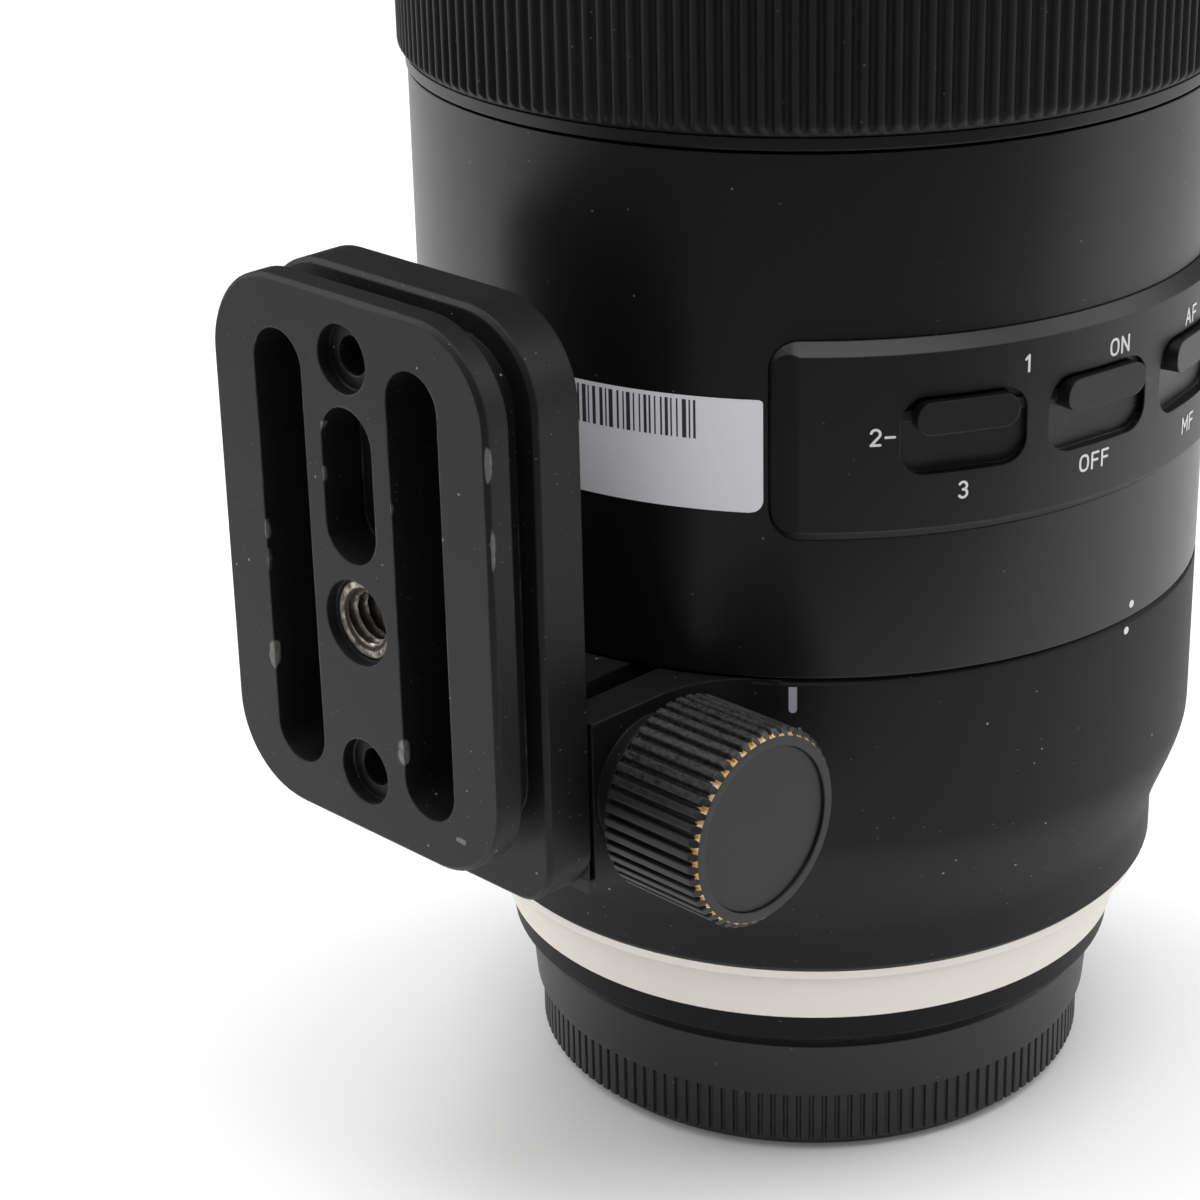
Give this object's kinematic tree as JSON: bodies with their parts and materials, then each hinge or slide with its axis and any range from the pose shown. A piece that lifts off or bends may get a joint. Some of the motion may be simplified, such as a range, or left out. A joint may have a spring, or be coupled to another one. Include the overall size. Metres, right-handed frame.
{
  "type": "camera zoom lens",
  "caption": "Telephoto zoom lens with ribbed zoom and focus rings, a curved panel of slide switches, a turning tripod collar with a dovetail foot and clamp knob, and a rear cap.",
  "frame": {"origin": "on the optical axis at the underside of the rear cap, which the lens stands on", "axes": "+Z along the optical axis towards the front glass, -Y out through the tripod foot, +X towards the clamp knob"},
  "size_m": [0.0896, 0.1109, 0.2098],
  "materials": {
    "barrel_black": "satin black lacquer on light alloy",
    "collar_black": "satin black lacquer on a light alloy casting",
    "inner_black": "black anodised, matt",
    "plastic_black": "fine satin moulding",
    "rubber_black": "ribbed, matt",
    "accent_metal": "satin champagne anodising",
    "bayonet_steel": "bright plated",
    "steel": "plain machined",
    "contact_gold": "gold plated",
    "lens_glass": "coated optical glass",
    "window_clear": "clear pane over a dark drum",
    "board_green": "solder mask",
    "label_paper": "printed paper, matt",
    "motor_alloy": "lapped",
    "blade_black": "dry black film on thin steel"
  },
  "bodies": {
    "barrel": {"rear_bayonet": "bayonet_steel", "mount_screws": "steel", "contact_block": "plastic_black", "contact_pins": "contact_gold", "mount_ring": "plastic_black", "accent_ring": "accent_metal", "rear_barrel": "inner_black", "main_barrel": "barrel_black", "switch_panel": "plastic_black", "distance_window": "window_clear", "stock_label": "label_paper", "circuit_board": "board_green", "fixed_sleeve": "inner_black", "motor_stator": "motor_alloy", "scale_band": "barrel_black", "front_barrel": "barrel_black", "front_cell": "inner_black", "front_glass": "lens_glass", "front_trim_ring": "inner_black", "rear_cell": "inner_black", "rear_glass": "lens_glass", "relay_barrel": "inner_black"},
    "cap": {"rear_cap": "plastic_black"},
    "collar": {"tripod_collar": "collar_black", "thread_insert": "contact_gold"},
    "washer": {"clamp_washer": "steel"},
    "knob": {"clamp_knob": "plastic_black", "knob_cap": "plastic_black", "clamp_screw": "steel"},
    "zoom_control": {"zoom_ring": "barrel_black", "zoom_grip": "rubber_black", "zoom_cam": "inner_black"},
    "variator": {"variator_cell": "inner_black", "variator_glass": "lens_glass"},
    "compensator": {"compensator_cell": "inner_black", "compensator_glass": "lens_glass"},
    "focus_control": {"focus_ring": "barrel_black", "focus_grip": "rubber_black"},
    "focus_carrier": {"focus_cam": "inner_black"},
    "focus_group": {"focus_cell": "inner_black", "focus_glass": "lens_glass"},
    "rotor": {"motor_rotor": "motor_alloy"},
    "stabiliser_mode_slider": {"stabiliser_mode_switch": "plastic_black"},
    "stabiliser_slider": {"stabiliser_switch": "plastic_black"},
    "focus_mode_slider": {"focus_mode_switch": "plastic_black"},
    "focus_limit_slider": {"focus_limit_switch": "plastic_black"},
    "iris_actuator": {"iris_ring": "inner_black"},
    "shake_carriage": {"stabiliser_carriage": "inner_black"},
    "shake_lens": {"stabiliser_cell": "inner_black", "stabiliser_glass": "lens_glass"},
    "blade_1": {"iris_blade_1": "blade_black"},
    "blade_2": {"iris_blade_2": "blade_black"},
    "blade_3": {"iris_blade_3": "blade_black"},
    "blade_4": {"iris_blade_4": "blade_black"},
    "blade_5": {"iris_blade_5": "blade_black"},
    "blade_6": {"iris_blade_6": "blade_black"},
    "blade_7": {"iris_blade_7": "blade_black"},
    "blade_8": {"iris_blade_8": "blade_black"},
    "blade_9": {"iris_blade_9": "blade_black"}
  },
  "joints": [
    {"name": "cap_turn", "type": "hinge", "parent": "barrel", "child": "cap", "pos_m": [0, 0, 0.008], "axis": [0, 0, 1], "range_deg": [0, 60]},
    {"name": "collar_turn", "type": "hinge", "parent": "barrel", "child": "collar", "pos_m": [0, 0, 0.045], "axis": [0, 0, 1], "continuous": true},
    {"name": "washer_slide", "type": "slide", "parent": "collar", "child": "washer", "axis": [1, 0, 0], "range_m": [0, 0.0012]},
    {"name": "knob_turn", "type": "hinge", "parent": "washer", "child": "knob", "pos_m": [0.03, -0.0466, 0.0544], "axis": [1, 0, 0], "range_deg": [0, 540]},
    {"name": "zoom_turn", "type": "hinge", "parent": "barrel", "child": "zoom_control", "pos_m": [0, 0, 0.176], "axis": [0, 0, 1], "range_deg": [0, 75]},
    {"name": "variator_slide", "type": "slide", "parent": "barrel", "child": "variator", "axis": [0, 0, -1], "range_m": [0, 0.024]},
    {"name": "compensator_slide", "type": "slide", "parent": "barrel", "child": "compensator", "axis": [0, 0, -1], "range_m": [0, 0.008]},
    {"name": "focus_turn", "type": "hinge", "parent": "barrel", "child": "focus_control", "pos_m": [0, 0, 0.132], "axis": [0, 0, 1], "range_deg": [0, 178]},
    {"name": "focus_carrier_turn", "type": "hinge", "parent": "barrel", "child": "focus_carrier", "pos_m": [0, 0, 0.12], "axis": [0, 0, 1], "range_deg": [0, 89]},
    {"name": "focus_slide", "type": "slide", "parent": "barrel", "child": "focus_group", "axis": [0, 0, -1], "range_m": [0, 0.01]},
    {"name": "rotor_turn", "type": "hinge", "parent": "barrel", "child": "rotor", "pos_m": [0, 0, 0.091], "axis": [0, 0, 1], "continuous": true},
    {"name": "stabiliser_mode_slide", "type": "slide", "parent": "barrel", "child": "stabiliser_mode_slider", "axis": [0, 0, -1], "range_m": [0, 0.004]},
    {"name": "stabiliser_slide", "type": "slide", "parent": "barrel", "child": "stabiliser_slider", "axis": [0, 0, -1], "range_m": [0, 0.004]},
    {"name": "focus_mode_slide", "type": "slide", "parent": "barrel", "child": "focus_mode_slider", "axis": [0, 0, -1], "range_m": [0, 0.004]},
    {"name": "focus_limit_slide", "type": "slide", "parent": "barrel", "child": "focus_limit_slider", "axis": [0, 0, -1], "range_m": [0, 0.004]},
    {"name": "iris_turn", "type": "hinge", "parent": "barrel", "child": "iris_actuator", "pos_m": [0, 0, 0.113], "axis": [0, 0, 1], "range_deg": [0, 24]},
    {"name": "blade_1_turn", "type": "hinge", "parent": "barrel", "child": "blade_1", "pos_m": [0.0314, 0, 0.112], "axis": [0, 0, 1], "range_deg": [0, 32]},
    {"name": "blade_2_turn", "type": "hinge", "parent": "barrel", "child": "blade_2", "pos_m": [0.02405, 0.02018, 0.112], "axis": [0, 0, 1], "range_deg": [0, 32]},
    {"name": "blade_3_turn", "type": "hinge", "parent": "barrel", "child": "blade_3", "pos_m": [0.00545, 0.03092, 0.112], "axis": [0, 0, 1], "range_deg": [0, 32]},
    {"name": "blade_4_turn", "type": "hinge", "parent": "barrel", "child": "blade_4", "pos_m": [-0.0157, 0.02719, 0.112], "axis": [0, 0, 1], "range_deg": [0, 32]},
    {"name": "blade_5_turn", "type": "hinge", "parent": "barrel", "child": "blade_5", "pos_m": [-0.02951, 0.01074, 0.112], "axis": [0, 0, 1], "range_deg": [0, 32]},
    {"name": "blade_6_turn", "type": "hinge", "parent": "barrel", "child": "blade_6", "pos_m": [-0.02951, -0.01074, 0.112], "axis": [0, 0, 1], "range_deg": [0, 32]},
    {"name": "blade_7_turn", "type": "hinge", "parent": "barrel", "child": "blade_7", "pos_m": [-0.0157, -0.02719, 0.112], "axis": [0, 0, 1], "range_deg": [0, 32]},
    {"name": "blade_8_turn", "type": "hinge", "parent": "barrel", "child": "blade_8", "pos_m": [0.00545, -0.03092, 0.112], "axis": [0, 0, 1], "range_deg": [0, 32]},
    {"name": "blade_9_turn", "type": "hinge", "parent": "barrel", "child": "blade_9", "pos_m": [0.02405, -0.02018, 0.112], "axis": [0, 0, 1], "range_deg": [0, 32]},
    {"name": "shake_x", "type": "slide", "parent": "barrel", "child": "shake_carriage", "axis": [1, 0, 0], "range_m": [-0.001, 0.001], "stiffness_N_per_m": 150},
    {"name": "shake_y", "type": "slide", "parent": "shake_carriage", "child": "shake_lens", "axis": [0, 1, 0], "range_m": [-0.001, 0.001], "stiffness_N_per_m": 150}
  ],
  "couplings": [
    {"joint": "washer_slide", "follows": "knob_turn", "m_per_rad": 0.00012732},
    {"joint": "variator_slide", "follows": "zoom_turn", "m_per_rad": 0.018334},
    {"joint": "compensator_slide", "follows": "zoom_turn", "m_per_rad": 0.006111},
    {"joint": "focus_carrier_turn", "follows": "focus_turn", "ratio": 0.5},
    {"joint": "focus_slide", "follows": "focus_turn", "m_per_rad": 0.0032188},
    {"joint": "blade_1_turn", "follows": "iris_turn", "ratio": 1.3333},
    {"joint": "blade_2_turn", "follows": "iris_turn", "ratio": 1.3333},
    {"joint": "blade_3_turn", "follows": "iris_turn", "ratio": 1.3333},
    {"joint": "blade_4_turn", "follows": "iris_turn", "ratio": 1.3333},
    {"joint": "blade_5_turn", "follows": "iris_turn", "ratio": 1.3333},
    {"joint": "blade_6_turn", "follows": "iris_turn", "ratio": 1.3333},
    {"joint": "blade_7_turn", "follows": "iris_turn", "ratio": 1.3333},
    {"joint": "blade_8_turn", "follows": "iris_turn", "ratio": 1.3333},
    {"joint": "blade_9_turn", "follows": "iris_turn", "ratio": 1.3333}
  ]
}
